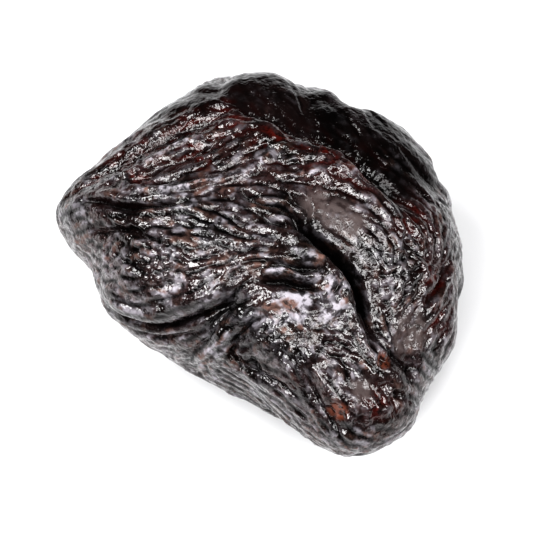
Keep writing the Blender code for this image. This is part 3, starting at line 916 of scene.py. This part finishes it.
@dataclass(frozen=True)
class DriedPlumSkin:
    """Skin of a dried plum, oven-dried and moist: thin, dark and waxy over sugary flesh.

    It gives the eye a nearly black brown that turns dark red where the skin is thin, a grey-lilac bloom on
    the ridges that is browner where sugar came out, and small sharp highlights where moist skin faces light.
    Painted shade in near black lies in the folds, hollows, holes, fine valleys and cracks and on a smooth
    patch of the far side, and the bloom is laid on thicker as a painted highlight on raised crests and pale
    patches.
    """

    name: str = "dried_plum_skin"
    dark: str = "#0b0706"
    brown: str = "#2b1f1f"
    # near black of the painted shade
    painted_shade: str = "#040303"
    red: str = "#40110b"
    bloom: str = "#8e8a90"
    sugar: str = "#634e48"
    dull: str = "#463e3d"
    flesh: str = "#5a3427"
    flesh_dark: str = "#24120d"
    ior: float = 1.47              # of sugary flesh
    specular: float = 0.1          # little of the body's own gloss, because the moist coat gives it
    coat_ior: float = 1.6
    coat_roughness: float = 0.15
    glossy: float = 0.14           # roughness where there is no bloom
    matt: float = 0.52             # roughness of dull skin
    painted_shade_coat: float = 0.1        # coat weight left where the painted shade is full: the gloss is taken out to darken it
    clouds: Blotches = Blotches(2.2 * MM, 0.34, 0.64, most=0.75, detail=5.0, roughness=0.62)
    specks: Blotches = Blotches(0.7 * MM, 0.42, 0.60, least=0.12)      # clouds times specks are the bloom
    flecks: Blotches = Blotches(0.6 * MM, 0.36, 0.58, least=0.35)      # of dull skin, with moist gaps
    patches: Blotches = Blotches(4.0 * MM, 0.35, 0.65, detail=2.0)     # browner skin
    blush: Blotches = Blotches(2.0 * MM, 0.34, 0.54)                   # red skin
    sugary: Blotches = Blotches(1.5 * MM, 0.45, 0.60)                  # browner bloom
    shreds: Blotches = Blotches(0.6 * MM, 0.42, 0.60, detail=2.0)      # torn flesh
    pore_size: float = 0.55 * MM   # pores and crinkles too fine for the mesh
    pore_depth: float = 0.18 * MM
    pore_strength: tuple[float, float] = (0.8, 0.5)   # on moist and on dull skin
    crack_width: float = 0.06      # the skin is cracked where the pores' noise is this close to 0.5
    # how dark the painted shade in the fine cracks is
    crack_shade_share: float = 0.9

    def make(self) -> bpy.types.Material:
        """Builds the material.

        Returns:
            The material, which reads the mesh's maps and Object coordinates.
        """
        material = bpy.data.materials.new(self.name)
        material.use_nodes = True
        tree = material.node_tree
        shader = tree.nodes["Principled BSDF"]
        where = add_node(tree, "TexCoord").outputs["Object"]
        maps = {item: add_node(tree, "Attribute", attribute_name=item.value).outputs["Fac"]
                for item in SkinMap}
        pores = add_node(tree, "TexNoise", {"Vector": where, "Scale": 1 / self.pore_size, "Detail": 2.0})
        maps[SkinMap.PAINTED_SHADE] = self.cracked(tree, pores.outputs["Fac"], maps[SkinMap.PAINTED_SHADE])
        clouds, specks = self.clouds.share(tree, where), self.specks.share(tree, where)
        share = add_node(tree, "Math", {0: clouds, 1: specks}, operation="MULTIPLY")
        bloom_and_highlight = add_node(tree, "Math", {0: maps[SkinMap.BLOOM], 1: share.outputs[0]}, operation="MULTIPLY")
        rubbed = add_node(tree, "Math", {0: maps[SkinMap.DULL], 1: self.flecks.share(tree, where)},
                          operation="MULTIPLY")
        cover = add_node(tree, "Math", {0: bloom_and_highlight.outputs[0], 1: rubbed.outputs[0]}, operation="MAXIMUM")
        roughness = add_node(tree, "MapRange", {"Value": cover.outputs[0], "To Min": self.glossy,
                                                "To Max": self.matt})
        # The coat is taken out where the painted shade is, which darkens it more, and under bloom and dull
        # skin.
        coat_out_of_painted_shade = add_node(tree, "MapRange", {"Value": maps[SkinMap.PAINTED_SHADE], "To Min": 1.0,
                                                "To Max": self.painted_shade_coat})
        moist = add_node(tree, "MapRange", {"Value": cover.outputs[0], "To Min": coat_out_of_painted_shade.outputs["Result"],
                                            "To Max": 0.0})
        crinkles = self.crinkles(tree, pores.outputs["Fac"], rubbed.outputs[0])
        links = {"Base Color": self.colour(tree, where, maps, bloom_and_highlight.outputs[0], rubbed.outputs[0]),
                 "Roughness": roughness.outputs["Result"], "Coat Weight": moist.outputs["Result"],
                 "Normal": crinkles, "Coat Normal": crinkles}
        for name, socket in links.items():
            tree.links.new(socket, shader.inputs[name])
        shader.inputs["IOR"].default_value = self.ior
        shader.inputs["Specular IOR Level"].default_value = self.specular
        shader.inputs["Coat Roughness"].default_value = self.coat_roughness
        shader.inputs["Coat IOR"].default_value = self.coat_ior
        return material

    def colour(self, tree: Tree, where: Socket, maps: dict[SkinMap, Socket], bloom_and_highlight: Socket,
               rubbed: Socket) -> Socket:
        """The skin's colour, as layers that lie over one another.

        Args:
            tree: the material's node tree.
            where: Object coordinates.
            maps: the mesh's maps.
            bloom_and_highlight: the share of bloom, with painted highlight on raised crests and pale patches.
            rubbed: the share of dull skin.

        Returns:
            Near black with brown patches, red where it is thin, a painted shade that is blackest in the
            clefts, then bloom with painted highlight on raised crests and pale patches, dull skin and torn
            flesh over it.
        """
        thin = add_node(tree, "Math", {0: maps[SkinMap.RED], 1: self.blush.share(tree, where)},
                        operation="MULTIPLY")
        bloom = add_node(tree, "MixRGB", {"Fac": self.sugary.share(tree, where), "Color1": srgb(self.bloom),
                                          "Color2": srgb(self.sugar)})
        flesh = add_node(tree, "MixRGB", {"Fac": self.shreds.share(tree, where), "Color1": srgb(self.flesh),
                                          "Color2": srgb(self.flesh_dark)})
        # The near-black layer is painted shade; the bloom layer carries painted highlight on raised crests
        # and pale patches.
        layers = ((self.patches.share(tree, where), srgb(self.brown)), (thin.outputs[0], srgb(self.red)),
                  (maps[SkinMap.PAINTED_SHADE], srgb(self.painted_shade)), (bloom_and_highlight, bloom.outputs["Color"]),
                  (rubbed, srgb(self.dull)), (maps[SkinMap.FLESH], flesh.outputs["Color"]))
        skin = srgb(self.dark)
        for share, colour in layers:
            mixed = add_node(tree, "MixRGB", {"Fac": share, "Color1": skin, "Color2": colour})
            skin = mixed.outputs["Color"]
        return skin

    def cracked(self, tree: Tree, pores: Socket, painted_shade: Socket) -> Socket:
        """The mesh's painted shade in clefts, with painted shade in fine cracks added.

        Args:
            tree: the material's node tree.
            pores: the pores' noise.
            painted_shade: the mesh's map of painted shade in the clefts.

        Returns:
            The larger of the map and the cracks, which lie where the noise is near 0.5.
        """
        centred = add_node(tree, "Math", {0: pores, 1: 0.5}, operation="SUBTRACT")
        apart = add_node(tree, "Math", {0: centred.outputs[0]}, operation="ABSOLUTE")
        cracks = add_node(tree, "MapRange", {"Value": apart.outputs[0], "From Max": self.crack_width,
                                             "To Min": self.crack_shade_share, "To Max": 0.0})
        larger = add_node(tree, "Math", {0: painted_shade, 1: cracks.outputs["Result"]}, operation="MAXIMUM")
        return larger.outputs[0]

    def crinkles(self, tree: Tree, pores: Socket, rubbed: Socket) -> Socket:
        """The pores as a bump, because they are too fine for the mesh.

        Args:
            tree: the material's node tree.
            pores: the pores' noise.
            rubbed: the share of dull skin, where the bump is weaker.

        Returns:
            The skin's normal.
        """
        moist, dull = self.pore_strength
        strength = add_node(tree, "MapRange", {"Value": rubbed, "To Min": moist, "To Max": dull})
        pored = add_node(tree, "Bump", {"Height": pores, "Distance": self.pore_depth,
                                        "Strength": strength.outputs["Result"]})
        return pored.outputs["Normal"]


@dataclass(frozen=True)
class PaleSurface:
    """Smooth matt white board: it gives the eye an almost even white with a soft contact shadow."""

    name: str = "matt_white_board"
    colour: str = "#cbcbcc"
    roughness: float = 0.7

    def make(self) -> bpy.types.Material:
        """Builds the material.

        Returns:
            The material, even all over.
        """
        material = bpy.data.materials.new(self.name)
        material.use_nodes = True
        shader = material.node_tree.nodes["Principled BSDF"]
        shader.inputs["Base Color"].default_value = srgb(self.colour)
        shader.inputs["Roughness"].default_value = self.roughness
        return material


@dataclass
class Prune:
    """The whole prune: its skin's points, its maps and its finish."""

    node: str = "prune"
    body: PlumBody = field(default_factory=PlumBody)
    finish: DriedPlumSkin = field(default_factory=DriedPlumSkin)
    spot_depth: float = 0.35 * MM   # how much the flat spot takes off the body
    spot_fade: tuple[float, float] = (1.58, 1.80)   # reach over which the relief fades out under the body
    wrinkle_height: float = 0.24 * MM
    rim: tuple[float, float] = (0.97, 0.22)   # reach and breadth of the rim, where the skin is stretched
    lobe_end: Place = (-16, 0.23)   # where it is stretched too
    lobe_end_size: float = 3 * MM
    net_height: float = 0.20 * MM
    net_levels: tuple[float, float] = (-1.5, 1.7)   # of the net's valleys and crests
    streak_spacing: float = 0.72 * MM
    streak_height: float = 0.055 * MM
    flesh_depth: float = 0.35 * MM
    hole_depth: float = 0.9 * MM
    mean_ridge: float = 0.6   # level of a ridge that leaves the skin where it is
    floor_softness: float = 0.05 * MM
    ridge_bloom: float = 0.6   # how far a ridge's level counts for the bloom on it
    streak_bloom: float = 0.16   # and a streak's
    bloom_edge: tuple[float, float] = (0.10, 0.70)   # sums of the two between which bloom sets in
    pale_painted_highlight: float = 0.6   # how much more bloom pale skin carries: partly bloom, partly a painted highlight
    crest_painted_highlight: float = 2.5   # and the crests of raised ridges: pale bloom colour, a painted highlight in part
    valley_edge: tuple[float, float] = (0.25, 1.25)   # depths of the net's valleys between which painted shade sets in
    thick_edge: tuple[float, float] = (-1.0, 0.4)   # levels of the net between which red skin hides its red
    thick_loss: float = 0.85   # how much of it
    wrinkle_losses: Shares = ((State.RIM, 0.7), (State.LOBE_END, 0.7))
    fine_losses: Shares = (   # of the fine ridges and streaks
        (State.STRETCHED, 0.5), (State.UNDER, 0.65), (State.STRAIGHT, 0.25), (State.DULL, 0.6),
        (State.SMOOTH_SHADED, 0.7), (State.SLEEK, 0.7), (State.CREASE, 0.5))
    # the smooth shaded skin loses its bloom as part of its painted shade
    bloom_losses: Shares = ((State.CREASE, 1.0), (State.RED, 0.9), (State.SMOOTH_SHADED, 0.9))
    crest_losses: Shares = ((State.ROUGH, 0.3), (State.SMOOTH_SHADED, 0.6))   # of the painted highlight on crests
    valley_losses: Shares = ((State.DULL, 1.0), (State.SLEEK, 0.7), (State.RED, 0.85))   # of the painted shade in the net's valleys
    painted_shade_shares: Shares = (   # how much painted shade each state gets
        (State.CREASE, 0.9), (State.HOLE, 0.9), (State.VALLEY, 0.95), (State.SMOOTH_SHADED, 0.78))

    def build(self) -> bpy.types.Object:
        """Makes the prune's object, with its material, in place of the frame's solid.

        Returns:
            The new piece.
        """
        lattice = SkinLattice()
        points, maps = self.skin(lattice)
        piece = self.mesh_object(lattice, points, maps)
        piece.data.materials.append(self.finish.make())
        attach(piece, "root")
        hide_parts(self.node)
        LOG.info("%s: %d quads", piece.name, len(lattice.quads))
        return piece

    def form(self, ways: Array, random: np.random.Generator) -> tuple[Array, Array, Levels]:
        """The prune's form without its fine ridges.

        Heights of swells, lobes, folds, creases and wrinkles are added to the plump body along its outward
        vectors, and the result is scaled to the frame's box. A wrinkle's section is |cos(phase / 2)|, with a
        round back and a narrow valley.

        Args:
            ways: unit vectors from the body's middle.
            random: the seeded source of its uneven parts.

        Returns:
            The form's points, the plump body's points, and for each point how deep in a fold it is, how near
            a ridge's crest, how stretched, and how far under the body.
        """
        body = self.body
        folds, lobes = LongFolds(body), Lobes(body)
        plump = body.surface(ways)
        normals = body.outward(plump)
        height = lobes.swell(plump, random) + lobes.rise(plump)
        fold_height, slide, crease, crest = folds.bend(plump, normals)
        middle, breadth = self.rim
        stretch = {State.RIM: bump(body.reach(ways) - middle, breadth),
                   State.LOBE_END: body.hump(plump, self.lobe_end, self.lobe_end_size)}
        wrinkled = less(1.0, self.wrinkle_losses, stretch)
        height += fold_height + wrinkled * ShortCreases(folds).height(plump, random)
        phase = Wrinkles(folds).phase(plump, random)
        height += wrinkled * self.wrinkle_height * (np.abs(np.cos(phase / 2)) - self.mean_ridge)
        relief = 1 - smoothstep(body.reach(ways), *self.spot_fade)
        points = plump + normals * (height * relief)[:, None] + slide * relief[:, None]
        levels = {State.CREASE: crease, State.CREST: crest, State.STRETCHED: 1 - wrinkled,
                  State.UNDER: 1 - relief}
        return self.fit(points, self.spot_depth), plump, levels

    def skin(self, lattice: SkinLattice) -> tuple[Array, dict[SkinMap, Array]]:
        """Works out the skin's points and maps.

        Fine ridges and streaks are raised on the form along its normals, less where the skin is stretched,
        dull, moist, sleek or in a fold, and torn flesh and holes are sunk.

        Args:
            lattice: the grid of unit vectors.

        Returns:
            The points and the maps for the material.
        """
        random = np.random.default_rng(SEED)
        body, grain = self.body, Grain(LongFolds(self.body))
        points, plump, levels = self.form(lattice.ways, random)
        normals = body.outward(plump)
        levels |= SkinMarks(body).levels(plump)
        levels |= {State.STRAIGHT: 1 - levels[State.CURLY], State.ROUGH: 1 - levels[State.SLEEK]}
        runs = grain.runs(plump, levels[State.CURLY])
        start = grain.field(plump, normals, runs, FineRidges.spacing, random)
        net = FineRidges().pattern(lattice, points, start)
        low, high = self.net_levels
        ridge = np.sqrt(np.clip((net - low) / (high - low), 0, 1))
        streaks = grain.field(plump, normals, runs, self.streak_spacing, random)
        fine = self.net_height * (ridge - self.mean_ridge) + self.streak_height * streaks
        fine = less(fine, self.fine_losses, levels)
        fine -= self.flesh_depth * levels[State.FLESH] + self.hole_depth * levels[State.HOLE] ** 2
        points = self.rest(points + lattice.normals(points) * fine[:, None])
        dusty = self.ridge_bloom * ridge + self.streak_bloom * streaks
        return points, self.maps(net, dusty, levels)

    def maps(self, net: Array, dusty: Array, levels: Levels) -> dict[SkinMap, Array]:
        """Works out the material's maps.

        Bloom lies on the ridges and shuns the folds, and red and smooth shaded skin; pale patches and the
        crests of raised ridges get more, as a painted highlight. Painted shade lies in the folds and their
        hollows, the holes and the net's valleys, and in part on the smooth shaded skin.

        Args:
            net: the net of fine ridges.
            dusty: how much the ridge and the streak at each point count for its bloom.
            levels: the skin's states.

        Returns:
            One number a point for each map.
        """
        whole = 1 - levels[State.HOLE]
        # bloom on the ridges, plus pale patches that are partly a painted highlight
        bloom = whole * smoothstep(dusty, *self.bloom_edge) + self.pale_painted_highlight * levels[State.PAINTED_HIGHLIGHT]
        bloom = less(bloom, self.bloom_losses, levels)
        # pale bloom colour on the crests of raised ridges, a painted highlight in part
        bloom += less(self.crest_painted_highlight * levels[State.CREST], self.crest_losses, levels)
        # painted shade in the net's valleys, the folds, the holes and in part on the smooth shaded skin
        valley = less(smoothstep(-net, *self.valley_edge), self.valley_losses, levels)
        dark = levels | {State.VALLEY: valley}
        painted_shade = np.maximum.reduce([share * dark[state] for state, share in self.painted_shade_shares])
        thin = levels[State.RED] * (1 - self.thick_loss * smoothstep(net, *self.thick_edge))
        return {SkinMap.BLOOM: bloom, SkinMap.PAINTED_SHADE: painted_shade, SkinMap.RED: thin,
                SkinMap.DULL: whole * levels[State.DULL], SkinMap.FLESH: levels[State.FLESH]}

    def rest(self, points: Array) -> Array:
        """Sets the skin on the surface that it rests on, inside the frame's box.

        What is below the surface is pressed flat by softness * ln(1 + exp(z / softness)).

        Args:
            points: the skin's points.

        Returns:
            The points, from the surface up to the box's top.
        """
        points = self.fit(points, 0)
        points[:, 2] = self.floor_softness * np.logaddexp(0, points[:, 2] / self.floor_softness)
        points[:, 2] -= points[:, 2].min()
        points[:, 2] *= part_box(self.node)[1][2] / points[:, 2].max()
        return points

    def fit(self, points: Array, cut_off: float) -> Array:
        """Scales points to the frame's box.

        Args:
            points: the points to scale.
            cut_off: how much of the lowest part goes below the surface that the prune rests on.

        Returns:
            The scaled points.
        """
        low, high = points.min(axis=0), points.max(axis=0)
        low[2] += cut_off
        box_low, box_high = (np.array(corner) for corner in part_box(self.node))
        return box_low + (points - low) * (box_high - box_low) / (high - low)

    @staticmethod
    def mesh_object(lattice: SkinLattice, points: Array, maps: dict[SkinMap, Array]) -> bpy.types.Object:
        """Puts the skin into a smooth-shaded mesh.

        Args:
            lattice: the grid, for its quads.
            points: the skin's points.
            maps: one number a point for each of the material's maps.

        Returns:
            The object.
        """
        mesh = bpy.data.meshes.new("prune_skin")
        mesh.vertices.add(len(points))
        mesh.vertices.foreach_set("co", points.astype(np.float32).ravel())
        mesh.loops.add(lattice.quads.size)
        mesh.loops.foreach_set("vertex_index", lattice.quads.astype(np.int32).ravel())
        mesh.polygons.add(len(lattice.quads))
        mesh.polygons.foreach_set("loop_start", np.arange(0, lattice.quads.size, 4, dtype=np.int32))
        mesh.polygons.foreach_set("use_smooth", np.ones(len(lattice.quads), bool))
        for item, values in maps.items():
            layer = mesh.attributes.new(item.value, "FLOAT", "POINT")
            layer.data.foreach_set("value", values.astype(np.float32))
        mesh.update(calc_edges=True)
        mesh.validate()
        piece = bpy.data.objects.new("prune_skin", mesh)
        bpy.context.scene.collection.objects.link(piece)
        return piece


@dataclass(frozen=True)
class Softbox:
    """A soft rectangular light, placed by its azimuth from the camera's and its elevation, in degrees."""

    name: str
    turn: float
    elevation: float
    size: tuple[float, float]
    watts: float


@dataclass
class Studio:
    """The pale surface, the soft lights and the camera."""

    azimuth: float = 57.0
    elevation: float = 68.0
    distance: float = 0.34
    frame_width: float = 45 * MM       # how much of the subject's plane the picture spans
    sensor: float = 36.0               # in mm, as Blender takes it
    aim: tuple[float, float, float] = (-1.0 * MM, -1.6 * MM, 8 * MM)
    surface_width: float = 2.0
    sky: float = 0.05
    light_distance: float = 0.45
    lights: tuple[Softbox, ...] = (
        Softbox("near_left", -40, 52, (0.25, 0.25), 2.45),
        Softbox("left", -115, 45, (0.18, 0.18), 1.30),
        Softbox("right", 75, 45, (0.18, 0.22), 1.42),
        Softbox("top", 45, 78, (0.22, 0.22), 1.10),
    )

    @staticmethod
    def toward(azimuth: float, elevation: float) -> Vector:
        """Unit vector from the prune to a place round it; azimuth 0 is on the -Y side."""
        turn, lift = np.radians(azimuth), np.radians(elevation)
        return Vector((np.sin(turn) * np.cos(lift), -np.cos(turn) * np.cos(lift), np.sin(lift)))

    def place(self, data: bpy.types.ID, name: str, way: Vector, distance: float) -> bpy.types.Object:
        """Adds an object that looks at the prune.

        Args:
            data: its camera or light.
            name: its name.
            way: unit vector from the prune to it.
            distance: how far away it is.

        Returns:
            The object.
        """
        thing = bpy.data.objects.new(name, data)
        bpy.context.scene.collection.objects.link(thing)
        thing.location = Vector(self.aim) + way * distance
        thing.rotation_euler = (-way).to_track_quat("-Z", "Y").to_euler()
        return thing

    def add_camera(self) -> None:
        """Makes the scene's camera, at the photo's viewing angle."""
        lens = bpy.data.cameras.new("camera")
        lens.sensor_width = self.sensor
        lens.lens = self.sensor * self.distance / self.frame_width
        lens.clip_start = 10 * MM
        camera = self.place(lens, "camera", self.toward(self.azimuth, self.elevation), self.distance)
        bpy.context.scene.camera = camera
        LOG.info("camera: azimuth %.0f, elevation %.0f", self.azimuth, self.elevation)

    def add_lights(self) -> None:
        """Makes the softboxes and an even pale sky, and sets the picture's contrast."""
        for box in self.lights:
            lamp = bpy.data.lights.new(box.name, "AREA")
            lamp.shape = "RECTANGLE"
            lamp.size, lamp.size_y = box.size
            lamp.energy = box.watts
            way = self.toward(self.azimuth + box.turn, box.elevation)
            self.place(lamp, box.name, way, self.light_distance)
        world = bpy.data.worlds.new("studio")
        world.use_nodes = True
        background = world.node_tree.nodes["Background"]
        background.inputs["Color"].default_value = (1, 1, 1, 1)
        background.inputs["Strength"].default_value = self.sky
        scene = bpy.context.scene
        scene.world = world
        scene.view_settings.view_transform = "Standard"
        scene.view_settings.look = "High Contrast"
        LOG.info("lights: %d", len(self.lights))

    def add_surface(self) -> None:
        """Makes the surface that the prune rests on."""
        half = self.surface_width / 2
        corners = [(-half, -half, 0), (half, -half, 0), (half, half, 0), (-half, half, 0)]
        mesh = bpy.data.meshes.new("surface")
        mesh.from_pydata(corners, [], [(0, 1, 2, 3)])
        mesh.materials.append(PaleSurface().make())
        surface = bpy.data.objects.new("surface", mesh)
        bpy.context.scene.collection.objects.link(surface)
        LOG.info("surface: %.0f m wide", self.surface_width)


def main() -> None:
    """Builds the studio and the prune."""
    logging.basicConfig(level=logging.INFO, format="%(name)s %(message)s")
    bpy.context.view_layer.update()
    studio = Studio()
    studio.add_camera()
    studio.add_lights()
    studio.add_surface()
    Prune().build()


if __name__ == "__main__":
    main()
